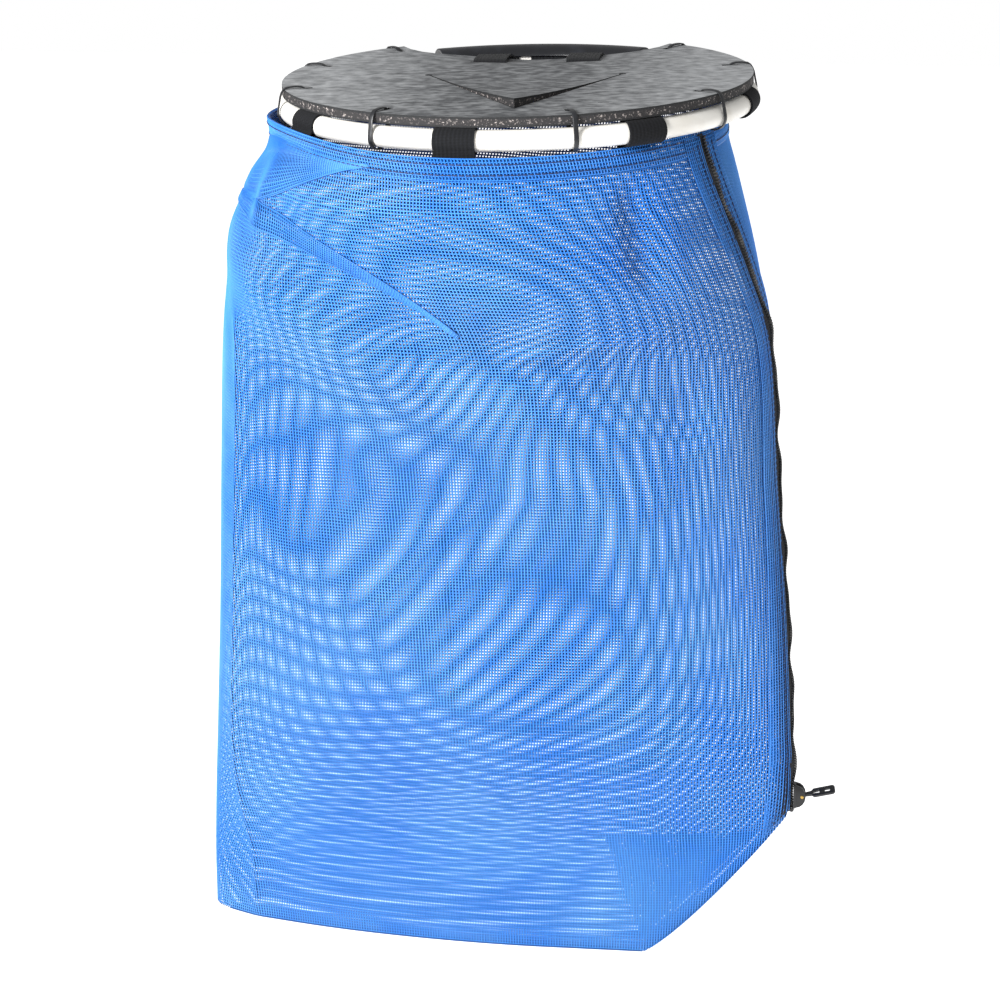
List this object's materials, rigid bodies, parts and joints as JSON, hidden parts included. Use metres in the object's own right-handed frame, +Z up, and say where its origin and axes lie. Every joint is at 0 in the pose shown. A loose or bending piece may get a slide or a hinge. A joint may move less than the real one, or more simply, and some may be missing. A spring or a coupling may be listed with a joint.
{
  "type": "dive catch bag",
  "caption": "Tall open-mesh catch bag hanging from a round tube ring, with a lashed rubber lid, a V-cut entry flap, a back handle grip, a folded bottom corner and a side zip with a hinged pull.",
  "frame": {"origin": "at the centre of the ring, in the plane of its tube", "axes": "+Z up, the bag's front faces -Y, the zip is on the +X side and the handle at +Y"},
  "size_m": [0.5225, 0.384, 0.7312],
  "materials": {
    "mesh": "PVC-coated polyester open mesh, azure, slightly glossy strands",
    "webbing": "black ribbed elastic webbing and zip tape",
    "tube": "warm white extruded PVC tube",
    "rubber": "grey scuffed rubber belting with a flecked cut edge",
    "nylon": "black moulded nylon cable ties",
    "zip_plastic": "black moulded acetal zip teeth, slider and pull",
    "grip_plastic": "charcoal extruded plastic, glossy"
  },
  "bodies": {
    "bag": {"bag_body": "mesh", "corner_fold": "mesh", "hem": "mesh", "zip_tape": "webbing", "zip_facing_front": "mesh", "zip_facing_back": "mesh", "zip_teeth": "zip_plastic", "zip_slider": "zip_plastic", "ring": "tube", "lid": "rubber", "handle_grip": "grip_plastic", "handle_strap_1": "webbing", "handle_strap_2": "webbing", "webbing_loop_1": "webbing", "webbing_loop_2": "webbing", "webbing_loop_3": "webbing", "webbing_loop_4": "webbing", "webbing_loop_5": "webbing", "webbing_loop_6": "webbing", "webbing_loop_7": "webbing", "webbing_loop_8": "webbing", "cable_tie_1": "nylon", "cable_tie_2": "nylon", "cable_tie_3": "nylon", "cable_tie_4": "nylon", "cable_tie_5": "nylon", "cable_tie_6": "nylon", "cable_tie_7": "nylon", "cable_tie_8": "nylon"},
    "zip_pull": {"zip_pull": "zip_plastic"}
  },
  "joints": [
    {"name": "zip_pull_hinge", "type": "hinge", "parent": "bag", "child": "zip_pull", "pos_m": [0.23405, -0.01271, -0.5615], "axis": [0, 1, 0], "range_deg": [-66, 94]}
  ]
}
